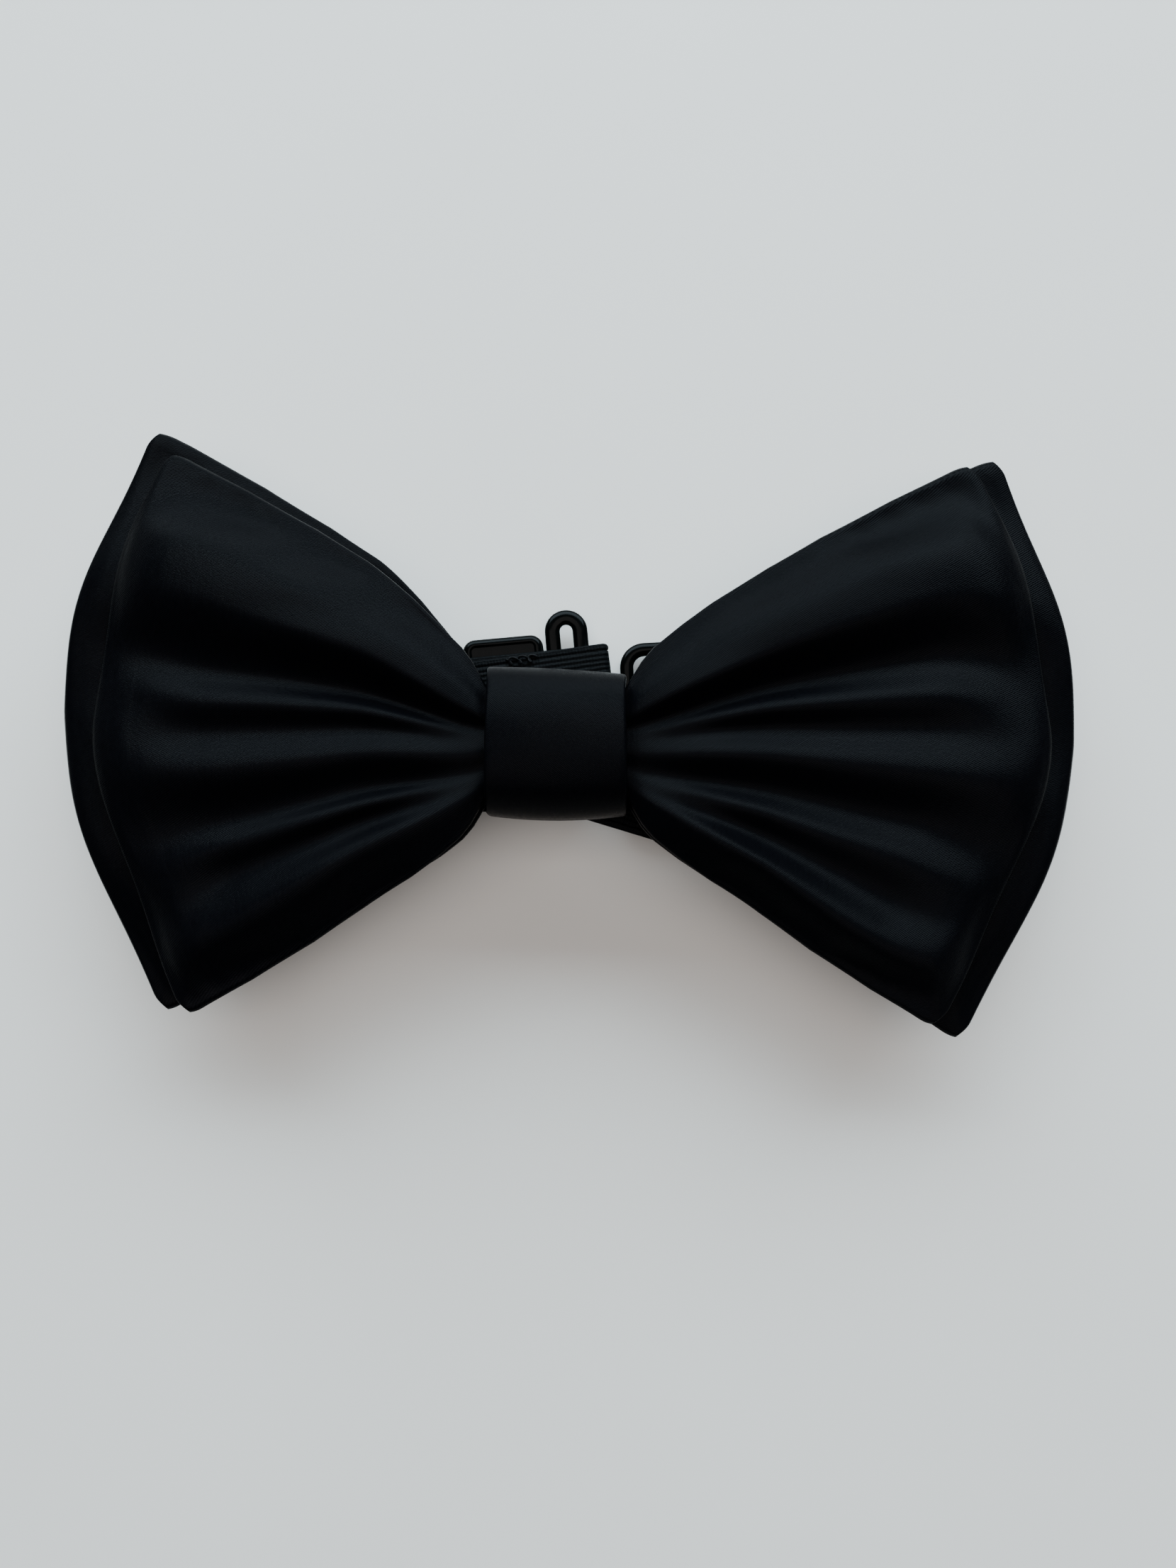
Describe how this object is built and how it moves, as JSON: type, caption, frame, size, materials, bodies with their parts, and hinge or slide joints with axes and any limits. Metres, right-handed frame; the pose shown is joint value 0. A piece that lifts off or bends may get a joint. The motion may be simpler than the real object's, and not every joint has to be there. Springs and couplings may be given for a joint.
{
  "type": "bow tie",
  "caption": "Pre-tied bow tie of two stacked sewn satin bows with a wrapped centre band, on a folded adjustable neck strap with slider, hook and eye.",
  "frame": {"origin": "middle of the bounding box at the height of the surface that the tie lies on", "axes": "+X along the bow, to the viewer's right when its front is seen with the wearer's up as +Y; +Y towards the upper edge when worn; +Z out of the front of the bow"},
  "size_m": [0.1212, 0.0696, 0.0227],
  "materials": {
    "satin": "black satin with a cool blue-grey sheen",
    "interlining": "dull non-woven",
    "webbing": "black ribbed webbing",
    "thread": "black sewing thread",
    "plastic": "moulded black, glossy"
  },
  "bodies": {
    "tie": {"front_bow_cover": "satin", "front_bow_interlining": "interlining", "back_bow_cover": "satin", "back_bow_interlining": "interlining", "waist_binding_thread": "thread", "knot_band": "satin", "knot_band_interlining": "interlining", "knot_closing_stitches": "thread", "strap_to_knot_stitches": "thread", "neck_strap_left": "webbing", "neck_strap_right": "webbing", "strap_tail_stitches": "thread", "eye_bar_tack": "thread"},
    "slider": {"slider": "plastic"},
    "hook": {"hook": "plastic"},
    "eye": {"eye": "plastic"}
  },
  "joints": [
    {"name": "slider_slide", "type": "slide", "parent": "tie", "child": "slider", "axis": [0.9959, 0.0906, 0], "range_m": [-0.025, 0]},
    {"name": "hook_pivot", "type": "hinge", "parent": "tie", "child": "hook", "pos_m": [-0.0013, 0.00301, 0.00245], "axis": [-0.0906, 0.9959, 0], "range_deg": [0, 100]},
    {"name": "eye_pivot", "type": "hinge", "parent": "tie", "child": "eye", "pos_m": [0.0172, 0.00141, 0.0015], "axis": [0.0576, -0.9983, 0], "range_deg": [0, 100]}
  ]
}
